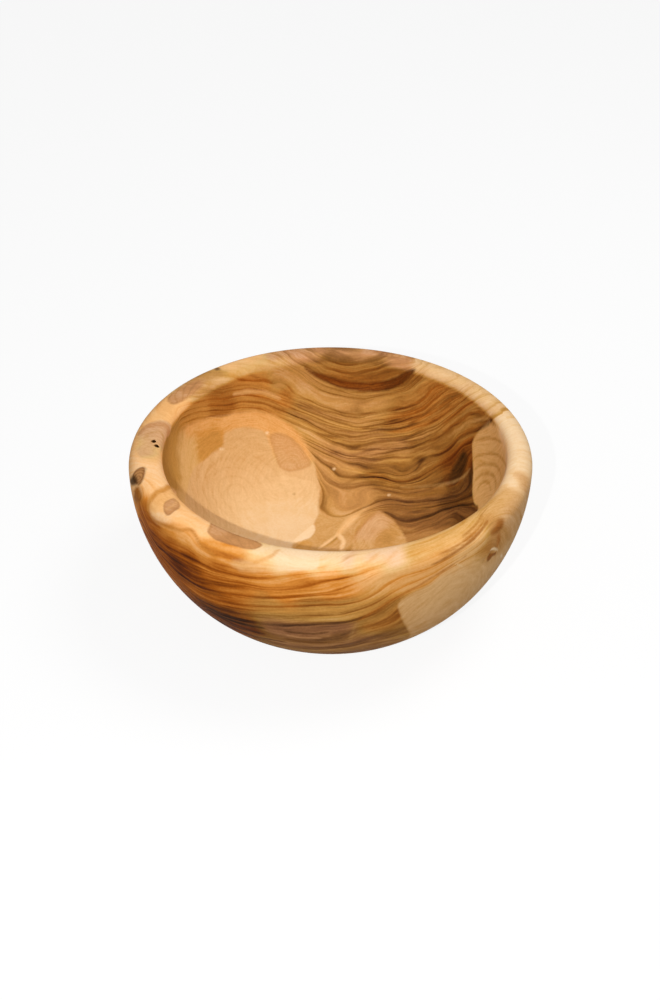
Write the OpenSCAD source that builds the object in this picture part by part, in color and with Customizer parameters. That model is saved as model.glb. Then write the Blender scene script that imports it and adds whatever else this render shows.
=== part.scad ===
// Olive wood dish: one block of olive wood, turned outside and hollowed inside.
// Millimetres, +Z up, origin in the middle of the base, on the table.

/* [Dish] */
// Outside diameter at the widest level
dish_d = 120; // [108:1:140]
// Height from the table to the crest of the rim
dish_h = 50; // [44:0.5:56]

/* [Outside] */
// Section radius of the side, from the widest level down
side_r = 57.5; // [50:0.5:70]
// Angle that the side's arc runs through before the belly's arc
side_sweep = 35; // [20:1:50]
// Section radius of the belly, from the side to the base
belly_r = 52; // [48:0.5:62]
// Section radius of the edge between the belly and the base
foot_r = 2; // [0.5:0.5:5]

/* [Rim] */
// Section radius of the rim's outer rounding
rim_outer_r = 4.5; // [2:0.5:7]
// Section radius of the rim's inner rounding
rim_inner_r = 3; // [1:0.5:5]

/* [Hollow] */
// Diameter of the mouth, inside the rim
mouth_d = 102; // [90:1:106]
// Thickness of the wood under the middle of the floor
floor_t = 10; // [6:0.5:14]
// Section radius of the floor
floor_r = 90; // [75:1:140]
// Distance of the hollow's axis from the outside's axis, towards +X
hollow_shift = 1.2; // [0:0.1:2]

/* [Wormholes] */
// Diameter of the wormholes in the rim
wormhole_d = 1.1; // [0.6:0.1:2]
// Depth of the wormholes below the crest of the rim
wormhole_depth = 3.5; // [2:0.5:6]
// Distance between the two wormholes
wormhole_gap = 2.2; // [1.4:0.1:4]
// Distance of the wormholes' middle from the edge of the mouth
wormhole_inset = 2.2; // [1.6:0.1:4]
// Direction of the wormholes from the hollow's axis
wormhole_angle = 180; // [0:1:359]
// Angle of the pair to the run of the rim
wormhole_turn = 27; // [0:1:90]

/* [Hidden] */
$fn = 180;

// What a cut runs past the face that it goes through
overrun = 1;
// How far one arc stands proud of the next where they join, so that the two cross cleanly
join = 0.002;

// Outside section: the widest level, and the centres of the side, belly and foot arcs
outer_r = dish_d / 2;
widest_z = dish_h - rim_outer_r;
side_c = [outer_r - side_r, widest_z];
side_end = [cos(side_sweep), -sin(side_sweep)];
belly_c = side_c + (side_r - belly_r) * side_end;
foot_c = [
    belly_c.x + sqrt((belly_r + join - foot_r) ^ 2 - (foot_r - belly_c.y) ^ 2),
    foot_r
];
foot_start = (foot_c - belly_c) / norm(foot_c - belly_c);

// Hollow section: the wall's arc leaves the floor's arc and stands upright under the rim's rounding
mouth_r = mouth_d / 2;
lip_z = dish_h - rim_inner_r;
floor_c = [0, floor_t + floor_r];
wall_r = (floor_r ^ 2 - mouth_r ^ 2 - (floor_c.y - lip_z) ^ 2) / (2 * (floor_r - mouth_r));
wall_c = [mouth_r - wall_r, lip_z];
wall_start = (wall_c - floor_c) / norm(wall_c - floor_c);

// Half plane to the left of a line through point p along the unit direction u
module left_of(p, u) {
    far = dish_d + floor_r;
    side = [-u.y, u.x];
    polygon([p - far * u, p + far * u, p + far * (u + side), p - far * (u - side)]);
}

// Half plane to the right of that line
module right_of(p, u) {
    left_of(p, -u);
}

module disc_at(c, r) {
    translate(c) circle(r);
}

// Filled section of the side and belly, up to the widest level and down to the base
module wall_section() {
    intersection() {
        square([dish_d, widest_z]);
        union() {
            intersection() {
                disc_at(side_c, side_r);
                left_of(side_c, side_end);
            }
            disc_at(belly_c, belly_r + join);
        }
    }
}

// What the foot's rounding takes off the sharp corner of the base
module foot_waste() {
    reach = foot_r + overrun;
    difference() {
        polygon([
            foot_c,
            foot_c + reach * foot_start,
            [foot_c.x + reach, -overrun],
            [foot_c.x, -overrun]
        ]);
        disc_at(foot_c, foot_r + join);
    }
}

// Filled section of the rim above the widest level, with its outer rounding
module rim_section() {
    crest_c = [outer_r - rim_outer_r, widest_z];
    square([crest_c.x, dish_h]);
    intersection() {
        disc_at(crest_c, rim_outer_r);
        square([dish_d, dish_h + overrun]);
    }
}

module outside() {
    rotate_extrude() difference() {
        union() {
            wall_section();
            intersection() {
                rim_section();
                translate([0, widest_z]) square([dish_d, dish_h]);
            }
        }
        foot_waste();
    }
}

// Section of the hollow: floor arc, wall arc, and the mouth that flares over the rim
module hollow_section() {
    flare_c = [mouth_r + rim_inner_r, lip_z];
    difference() {
        union() {
            intersection() {
                square([dish_d, lip_z]);
                union() {
                    intersection() {
                        disc_at(floor_c, floor_r);
                        right_of(floor_c, wall_start);
                    }
                    disc_at(wall_c, wall_r + join);
                }
            }
            translate([0, lip_z]) square([flare_c.x, rim_inner_r + overrun]);
        }
        disc_at(flare_c, rim_inner_r);
    }
}

module hollow() {
    translate([hollow_shift, 0, 0]) rotate_extrude() hollow_section();
}

// Two holes that a beetle left in the rim, side by side
module wormholes() {
    translate([hollow_shift, 0, dish_h - wormhole_depth])
        rotate([0, 0, wormhole_angle])
            translate([mouth_r + wormhole_inset, 0, 0])
                rotate([0, 0, wormhole_turn])
                    for (side = [-1, 1])
                        translate([0, side * wormhole_gap / 2, 0])
                            cylinder(d = wormhole_d, h = wormhole_depth + overrun);
}

module bowl() {
    color("peru") difference() {
        outside();
        hollow();
        wormholes();
    }
}

bowl();
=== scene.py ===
"""Looks of the olive wood dish: its turned surface, the figure of the wood, and the studio."""
import math

import bpy
import numpy as np
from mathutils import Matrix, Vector, noise
from mathutils.bvhtree import BVHTree
from mathutils.interpolate import poly_3d_calc
from mathutils.kdtree import KDTree


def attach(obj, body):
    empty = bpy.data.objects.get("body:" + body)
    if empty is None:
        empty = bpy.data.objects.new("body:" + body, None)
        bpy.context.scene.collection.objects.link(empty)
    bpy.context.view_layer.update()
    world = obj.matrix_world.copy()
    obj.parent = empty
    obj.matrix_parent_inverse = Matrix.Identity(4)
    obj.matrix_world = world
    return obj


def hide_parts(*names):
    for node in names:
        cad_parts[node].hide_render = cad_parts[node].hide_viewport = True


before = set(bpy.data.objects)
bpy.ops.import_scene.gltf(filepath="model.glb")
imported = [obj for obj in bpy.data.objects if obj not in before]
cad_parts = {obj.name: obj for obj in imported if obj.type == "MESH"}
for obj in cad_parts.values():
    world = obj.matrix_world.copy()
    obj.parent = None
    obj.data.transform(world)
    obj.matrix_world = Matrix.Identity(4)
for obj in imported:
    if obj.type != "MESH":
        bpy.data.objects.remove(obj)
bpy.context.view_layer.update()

MM = 0.001

# Sizes of the dish in millimetres, as the construction has them
OUTER_R = 60.0
DISH_H = 50.0
SIDE_R = 57.5
SIDE_SWEEP = math.radians(35)
BELLY_R = 52.0
FOOT_R = 2.0
RIM_OUTER_R = 4.5
RIM_INNER_R = 3.0
MOUTH_R = 51.0
FLOOR_T = 10.0
FLOOR_R = 90.0
HOLLOW_SHIFT = 1.2

# The two wormholes in the rim
WORMHOLE_R = 0.55
WORMHOLE_DEPTH = 3.5
WORMHOLE_GAP = 2.2
WORMHOLE_INSET = 2.2
WORMHOLE_TURN = math.radians(27)
WORMHOLE_SIDES = 24

# Quads along each edge of the cube that the surface's mesh is unfolded from, and the steps in one of them
# that tell its points apart
MESH_COUNT = 126
POINT_STEPS = 1000
# Step of the section's points, and the width over which hand sanding evens out its arcs
SECTION_STEP = 0.1
SANDING = 0.4
SANDING_REACH = 3 * SANDING
# Height under which the section counts as the base
BASE_LEVEL = 0.2
# Depth and spread of the slight unevenness that hand sanding leaves
UNEVEN_DEPTH = 0.12
UNEVEN_SPREAD = 22.0
# Edges that turn more than this show as sharp
SHARP_ANGLE = math.radians(50)

# The photograph: its size in pixels, the lens, and where the camera stood
PHOTO_SIZE = (660, 1000)
FOCAL_PIXELS = 1608.0
AIM_PIXEL = (330.5, 455.3)
AIM_HEIGHT = 45.5
CAMERA_DISTANCE = 480.0
CAMERA_ELEVATION = math.radians(33.86)
SENSOR = 36.0

# Veins of the wood, traced on the photograph: name, ring level counted from the eye on the back rim,
# darkness, width as a share of the rings' spacing, and the pixels that the vein runs through. Here and
# below, a list of places runs x, y, x, y and so on
VEINS = [
    ("eye_core", 1, 0.4, 0.2, [316, 356, 328, 361, 340, 364, 352, 365, 366, 362, 382, 358]),
    ("eye_second", 2, 0.5, 0.2, [
        304, 357, 316, 364, 330, 369, 345, 372, 358, 373, 372, 370, 384, 367, 396, 364]),
    ("eye_dark", 3, 0.5, 0.24, [
        284, 352, 290, 359, 297, 365, 312, 371, 322, 377, 336, 381, 352, 384, 368, 385, 382, 384,
        394, 381, 404, 376, 412, 371, 420, 366]),
    ("eye_under", 4, 0.5, 0.22, [
        274, 354, 286, 362, 298, 369, 308, 376, 318, 382, 330, 387, 344, 390, 360, 392, 376, 391,
        390, 389, 402, 385, 411, 379, 418, 372, 426, 366]),
    ("eye_edge", 5, 0.3, 0.16, [
        261, 359, 275, 363, 285, 368, 295, 375, 303, 381, 312, 386, 324, 391, 338, 394, 352, 397,
        366, 398, 380, 396, 394, 393, 406, 389, 417, 382, 426, 375, 436, 369]),
    ("back_wall_1", 6, 0.75, 0.12, [
        216, 375, 232, 376, 246, 377, 258, 379, 270, 382, 283, 387, 296, 394, 308, 400, 320, 406,
        332, 410, 342, 413, 352, 415, 360, 414, 368, 411, 380, 410, 395, 410, 410, 408, 420, 404,
        428, 398, 434, 391, 441, 386, 452, 381]),
    ("back_wall_2", 7, 0.45, 0.18, [
        222, 394, 234, 391, 248, 389, 262, 391, 275, 395, 290, 400, 305, 406, 318, 412, 330, 416,
        344, 421, 358, 424, 372, 421, 390, 418, 408, 416, 422, 412, 432, 405, 438, 398, 446, 391,
        458, 385]),
    ("back_wall_3", 8, 0.35, 0.16, [
        206, 401, 222, 400, 236, 397, 250, 396, 264, 398, 278, 402, 292, 407, 306, 413, 318, 419,
        332, 424, 346, 428, 362, 429, 380, 427, 398, 424, 414, 421, 428, 417, 438, 411, 446, 404,
        455, 397, 463, 392, 472, 386]),
    ("back_wall_4", 9, 0.4, 0.18, [
        186, 412, 198, 408, 212, 406, 228, 405, 244, 403, 258, 403, 272, 407, 286, 412, 300, 419,
        314, 427, 328, 433, 342, 437, 358, 437, 376, 435, 394, 434, 410, 431, 424, 427, 436, 422,
        446, 415, 454, 408, 462, 401, 472, 394, 482, 389]),
    ("back_wall_5", 10, 0.65, 0.18, [
        180, 420, 190, 414, 203, 411, 218, 410, 232, 409, 246, 408, 262, 410, 276, 415, 290, 422,
        303, 429, 316, 435, 328, 440, 340, 444, 352, 447, 366, 446, 382, 444, 398, 441, 414, 438,
        428, 433, 438, 428, 447, 421, 455, 414, 462, 408, 470, 402, 482, 396]),
    ("back_wall_6", 11, 0.45, 0.18, [
        176, 430, 184, 423, 195, 419, 208, 418, 222, 418, 234, 415, 248, 413, 260, 415, 272, 420,
        284, 427, 297, 434, 310, 440, 322, 446, 334, 452, 348, 457, 364, 458, 382, 455, 400, 449,
        418, 446, 434, 440, 446, 432, 456, 424, 466, 417, 478, 412, 492, 405]),
    ("left_wall_1", 9, 0.05, 0.2, [178, 420, 171, 432, 167, 446, 166, 460, 168, 474]),
    ("left_wall_2", 10, 0.05, 0.2, [176, 430, 173, 442, 171, 456, 172, 470, 176, 482]),
    ("left_wall_3", 11, 0.05, 0.2, [179, 440, 177, 452, 177, 466, 180, 480]),
    ("dark_vein", 12, 0.9, 0.26, [
        288, 434, 300, 441, 314, 448, 328, 455, 342, 461, 356, 465, 372, 468, 388, 467, 404, 464,
        420, 460, 434, 456, 446, 451, 453, 445, 459, 438, 468, 433, 478, 429, 487, 423, 495, 417,
        506, 410]),
    ("floor_1", 13, 0.6, 0.18, [
        305, 447, 316, 457, 326, 467, 338, 476, 352, 479, 366, 478, 380, 477, 394, 480, 408, 480,
        420, 477, 431, 471, 441, 466, 449, 460, 456, 452, 462, 445]),
    ("floor_2", 14, 0.45, 0.16, [
        312, 460, 320, 471, 327, 481, 337, 489, 348, 491, 358, 488, 372, 486, 388, 487, 404, 488,
        420, 488, 434, 487, 446, 484, 456, 478, 463, 470, 466, 460]),
    ("basin_edge", 15, 0.6, 0.14, [
        302, 449, 308, 459, 314, 470, 318, 481, 320, 494, 318, 506, 322, 514, 333, 518, 346, 517,
        357, 512, 367, 507, 378, 503, 392, 500, 406, 501, 420, 502, 434, 501, 448, 499, 459, 496,
        467, 489, 470, 478, 471, 465]),
    ("floor_3", 16, 0.5, 0.18, [
        320, 546, 334, 533, 345, 523, 356, 516, 368, 511, 382, 508, 396, 507, 410, 508, 426, 508,
        442, 505, 456, 502, 466, 498]),
    ("floor_4", 17, 0.7, 0.2, [
        352, 549, 357, 533, 364, 520, 374, 513, 384, 513, 394, 516, 404, 519, 418, 519, 432, 516,
        446, 511, 456, 507]),
    ("floor_5", 18, 0.35, 0.2, [
        364, 549, 369, 534, 377, 524, 387, 522, 396, 527, 404, 531, 418, 531, 434, 526, 448, 521]),
    ("side_1", 20, 0.45, 0.16, [
        149, 517, 158, 521, 166, 524, 174, 528, 184, 530, 191, 534, 196, 541, 201, 548, 209, 553,
        222, 557, 238, 562, 251, 564, 264, 565, 282, 567, 300, 569, 320, 568, 340, 564, 352, 557]),
    ("side_2", 21, 0.5, 0.2, [
        136, 492, 141, 510, 148, 527, 155, 535, 165, 544, 178, 551, 191, 557, 202, 563, 214, 569,
        228, 573, 244, 577, 260, 579, 276, 578, 292, 575, 310, 573, 328, 572]),
    ("side_2_right", 21, 0.1, 0.2, [346, 571, 362, 568, 378, 562, 390, 556, 402, 549]),
    ("side_3", 22, 0.6, 0.2, [
        144, 521, 152, 540, 161, 549, 172, 558, 185, 567, 198, 574, 212, 578, 226, 581, 240, 583,
        254, 586, 268, 588, 284, 588, 300, 586, 318, 583, 336, 580, 352, 577]),
    ("side_3_right", 22, 0.1, 0.2, [
        368, 572, 384, 567, 400, 561, 416, 555, 432, 549, 448, 542, 462, 534, 473, 525]),
    ("side_4", 23, 0.7, 0.2, [
        151, 538, 159, 553, 168, 563, 178, 573, 191, 582, 204, 588, 218, 592, 234, 595, 250, 597,
        266, 598, 282, 598, 300, 597, 318, 596, 334, 595, 350, 591, 362, 585]),
    ("side_4_right", 23, 0.2, 0.15, [
        372, 579, 382, 574, 396, 570, 412, 566, 428, 560, 444, 553, 458, 545, 470, 537, 480, 528]),
    ("side_5", 24, 0.65, 0.18, [
        161, 557, 168, 567, 176, 576, 187, 585, 199, 593, 213, 599, 228, 603, 244, 606, 260, 607,
        280, 607, 300, 606, 320, 606, 340, 606, 356, 603, 370, 597, 380, 590]),
    ("side_5_right", 24, 0.5, 0.12, [
        390, 583, 402, 577, 414, 573, 428, 569, 442, 563, 455, 556, 467, 549, 478, 540, 486, 530]),
    ("side_6", 25, 0.5, 0.18, [
        176, 578, 186, 589, 198, 599, 212, 606, 228, 611, 244, 614, 262, 616, 282, 616, 302, 616,
        322, 616, 340, 615, 356, 611, 370, 606, 382, 599, 394, 592, 406, 586, 420, 580, 434, 573,
        446, 566, 458, 559, 470, 552, 481, 544, 490, 534]),
    ("side_6_right", 25, 0.6, 0.12, [
        384, 598, 394, 592, 406, 586, 420, 580, 434, 573, 446, 566, 458, 559, 470, 552]),
    ("side_7", 26, 0.5, 0.2, [
        190, 595, 198, 603, 210, 609, 222, 615, 238, 620, 254, 623, 270, 625, 290, 626, 310, 625,
        330, 624, 346, 623, 358, 620, 370, 616, 380, 611, 389, 604, 398, 598, 408, 592, 416, 588,
        426, 585, 434, 580, 440, 575]),
    ("side_8", 27, 0.7, 0.2, [
        210, 610, 220, 618, 234, 625, 250, 631, 266, 636, 282, 640, 298, 642, 316, 643, 332, 642,
        346, 639, 356, 634, 368, 630, 382, 626, 394, 620]),
    ("side_9", 28, 0.5, 0.2, [
        244, 633, 256, 638, 270, 643, 290, 647, 310, 649, 330, 649, 350, 647, 370, 642, 390, 637,
        406, 632]),
]
# The same levels on the parts that the photograph doesn't show, under the names of the functions that find
# the places: azimuth in degrees, height or, under the base, radius, and the level
HIDDEN_RINGS = {
    "outside": [
        (90, 46, 0.6), (90, 38, 3), (90, 28, 9), (90, 18, 16), (90, 8, 22), (75, 44, 1.5), (105, 45, 2),
        (120, 43, 4.5), (120, 32, 10), (120, 20, 16), (120, 8, 22), (135, 43, 6.5), (154, 43, 9.5),
        (150, 30, 15), (150, 18, 20), (150, 8, 24), (172, 42, 13), (172, 30, 20), (172, 18, 24),
        (172, 8, 26), (195, 30, 23), (195, 15, 26), (60, 43, 3.5), (60, 32, 9), (60, 20, 16),
        (60, 8, 22), (45, 43, 7), (30, 43, 10.5), (30, 30, 16), (30, 18, 21), (30, 8, 24), (15, 43, 14),
        (0, 42, 17), (0, 30, 21), (0, 15, 24), (-25, 35, 24), (-25, 15, 26)],
    "under": [(90, 30, 26), (0, 0, 29), (-90, 30, 30), (180, 30, 28.5), (0, 30, 27.5)],
    "inside": [
        (-90, 12, 18.5), (-90, 25, 19), (-90, 40, 19.6), (-60, 25, 18.5), (-60, 42, 20), (-35, 25, 18),
        (-35, 42, 20.5), (-120, 25, 18), (-120, 42, 19.5)],
}

# Pixels along the rim where no vein shows
QUIET_RIM = [
    262, 357, 245, 363, 228, 371, 182, 402, 168, 416, 150, 440, 147, 470, 160, 495, 176, 512, 196, 530,
    222, 546, 250, 553, 275, 556, 300, 557, 325, 557, 515, 440, 520, 465, 514, 485, 505, 500, 505, 420,
    495, 520, 500, 535, 508, 510, 515, 495, 490, 543, 506, 525, 478, 520, 240, 370, 265, 366, 168, 450,
    172, 465, 171, 436,
]

# Tones of the wood between the veins, one of them also a painted highlight: name, tone from pale to dark,
# warmth from grey (-1) over gold (0) to orange (1), share of streaks, and the pixels where it is so
LOOKS = [
    ("back_left_rim", 0.16, 0.95, 0.15, [258, 356, 245, 360, 230, 366]),
    ("back_left_rim_tan", 0.3, -0.1, 0.2, [250, 369, 262, 365, 238, 371, 278, 367]),
    ("back_left_rim_streaks", 0.36, -0.4, 0.7, [212, 378, 203, 386, 220, 376, 196, 382]),
    ("left_back_rim", 0.21, 0.8, 0.15, [178, 408, 168, 416, 158, 420]),
    ("left_rim", 0.14, 1, 0.1, [150, 464, 152, 472, 156, 480, 162, 484]),
    ("near_left_rim", 0.16, 0.9, 0.2, [186, 512, 180, 518, 194, 524, 202, 534]),
    ("near_left_shoulder", 0.32, 0.8, 0.6, [168, 528, 186, 538, 205, 548, 225, 556]),
    # Pale wood on the near rim, made paler still by a painted highlight of the lamps
    ("near_rim_pale", 0.07, -0.3, 0.1, [265, 556, 285, 558, 305, 559, 322, 557]),
    ("near_rim", 0.14, -1, 0.15, [345, 560, 370, 560, 395, 556]),
    ("near_right_rim", 0.34, 0.1, 0.4, [415, 552, 435, 545, 455, 535, 470, 525]),
    ("right_rim_low", 0.33, -0.25, 0.15, [500, 505, 508, 495, 492, 510]),
    ("right_rim", 0.07, -0.25, 0.2, [512, 482, 518, 465, 515, 440, 505, 420]),
    ("right_back_rim", 0.22, -0.3, 0.35, [495, 405, 480, 393, 462, 382, 445, 374, 428, 366]),
    ("eye_top", 0.36, -1, 0.7, [272, 357, 295, 353, 320, 352, 345, 351, 370, 353, 400, 359]),
    ("eye", 0.7, 0, 0.7, [325, 360, 345, 362, 372, 363]),
    ("eye_band", 0.54, 0.15, 0.7, [345, 379, 375, 380, 400, 377]),
    ("back_wall_gold", 0.41, -0.2, 0.5, [320, 398, 345, 402, 375, 402]),
    ("back_wall", 0.46, -0.15, 0.9, [300, 415, 340, 430, 370, 432]),
    ("back_wall_right", 0.57, 0.2, 1, [398, 426, 412, 428]),
    ("back_left_wall", 0.37, -0.35, 0.4, [262, 370, 280, 380, 300, 388]),
    ("left_back_wall", 0.47, 0.5, 0.5, [245, 384, 262, 388, 285, 397]),
    ("left_wall_red", 0.58, 0.4, 0.5, [216, 404, 226, 405]),
    ("left_wall_gold", 0.46, 0.3, 0.35, [186, 418, 194, 414, 203, 412, 245, 406, 270, 410]),
    ("left_wall_olive", 0.49, 0, 0.05, [166, 440, 165, 452, 167, 466, 174, 424]),
    ("left_wall_gradient", 0.44, 0, 0.05, [174, 440, 173, 454, 175, 468]),
    ("basin", 0.32, -0.4, 0, [240, 450, 250, 490, 290, 520, 300, 480]),
    ("right_back_wall", 0.51, 0.3, 0.9, [415, 410, 430, 400, 445, 390]),
    ("right_wall", 0.52, 0.2, 1, [455, 425, 460, 400, 470, 412]),
    ("right_wall_low", 0.5, -0.05, 1, [425, 445, 440, 440]),
    ("floor_back", 0.48, -0.4, 0.9, [345, 450, 375, 452, 400, 447]),
    ("floor_brown", 0.59, 0, 0.9, [380, 474, 400, 473, 425, 470]),
    ("floor_middle", 0.43, -0.35, 0.4, [335, 480, 345, 500, 360, 495]),
    ("floor_right", 0.62, -0.3, 0.9, [400, 494, 420, 495, 440, 492]),
    ("floor_dark", 0.8, -0.3, 0.8, [445, 500, 455, 490, 468, 480]),
    ("near_black_edge", 0.73, 0.6, 0.5, [452, 459, 468, 462, 455, 480]),
    ("floor_near_right", 0.65, -0.4, 0.7, [420, 525, 430, 510, 405, 510, 440, 520]),
    ("floor_near_right_low", 0.47, -0.35, 0.3, [412, 537, 425, 535]),
    ("near_floor", 0.33, -0.3, 0.2, [340, 520, 345, 532, 330, 530]),
    ("left_side_top", 0.58, 1, 0.5, [147, 518, 156, 530, 170, 540]),
    ("left_side", 0.64, 1.3, 0.9, [172, 554, 190, 560, 158, 545]),
    ("near_left_side", 0.48, 1.3, 0.9, [220, 568, 240, 580, 215, 580]),
    ("near_side_orange", 0.42, 1.3, 0.9, [260, 574, 280, 592, 300, 580, 340, 586]),
    ("near_side", 0.27, 1.15, 0.6, [330, 576, 370, 570]),
    ("near_side_low", 0.44, 0.25, 1, [270, 603, 310, 605, 345, 609]),
    ("left_side_low", 0.6, 0.9, 1, [190, 586, 215, 596]),
    ("left_dark", 0.76, 0.7, 0.8, [212, 611, 228, 618, 244, 624]),
    ("bottom_dark", 0.57, -0.9, 0.9, [280, 630, 310, 634, 340, 631]),
    ("bottom_edge", 0.53, -0.6, 0.8, [290, 646, 330, 648, 360, 643]),
    ("brown_wedge", 0.52, 0.3, 0.6, [375, 624, 385, 615, 392, 608]),
    ("right_side", 0.31, 0.7, 0.4, [400, 580, 420, 572, 440, 560]),
    ("right_side_top", 0.23, 0.45, 0.5, [460, 546, 478, 536]),
    ("right_swirl", 0.43, -0.45, 0.3, [494, 522, 496, 538]),
    ("right_outer", 0.33, -0.5, 0.2, [508, 515, 515, 500, 523, 480]),
]
# The same on the parts that the photograph doesn't show: azimuth, and height or radius
HIDDEN_LOOKS = {
    "outside": [
        ("back_top", 0.42, 0.2, 0.9, [90, 42, 70, 42, 110, 42]),
        ("back", 0.4, 0.3, 1, [60, 28, 90, 28, 120, 28]),
        ("back_low", 0.48, 0.2, 1, [60, 10, 90, 10, 120, 10, 150, 10]),
        ("back_left_side", 0.36, 0.6, 0.8, [150, 38, 150, 24, 172, 30, 175, 12]),
        ("back_right_side", 0.34, 0.15, 0.7, [30, 38, 30, 22, 10, 36, 10, 12]),
    ],
    "under": [
        ("base", 0.46, 0.05, 0.9, [0, 0, 0, 25, 90, 25, 180, 25, -90, 25]),
    ],
    "inside": [
        ("near_wall", 0.3, 0.1, 0.5, [-90, 25, -90, 42, -65, 30, -65, 44, -40, 30, -40, 44]),
    ],
}


def spot(tone, warmth, pixels, rings=0.0, cover=1.0, softness=0.6, edge=0.0):
    """A shape's look around some pixels: tone, warmth, strength of its faint rings, how much it covers
    what is under it, softness of its edge in millimetres, darkness of its edge."""
    return tone, warmth, rings, cover, softness, edge, pixels


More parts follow.
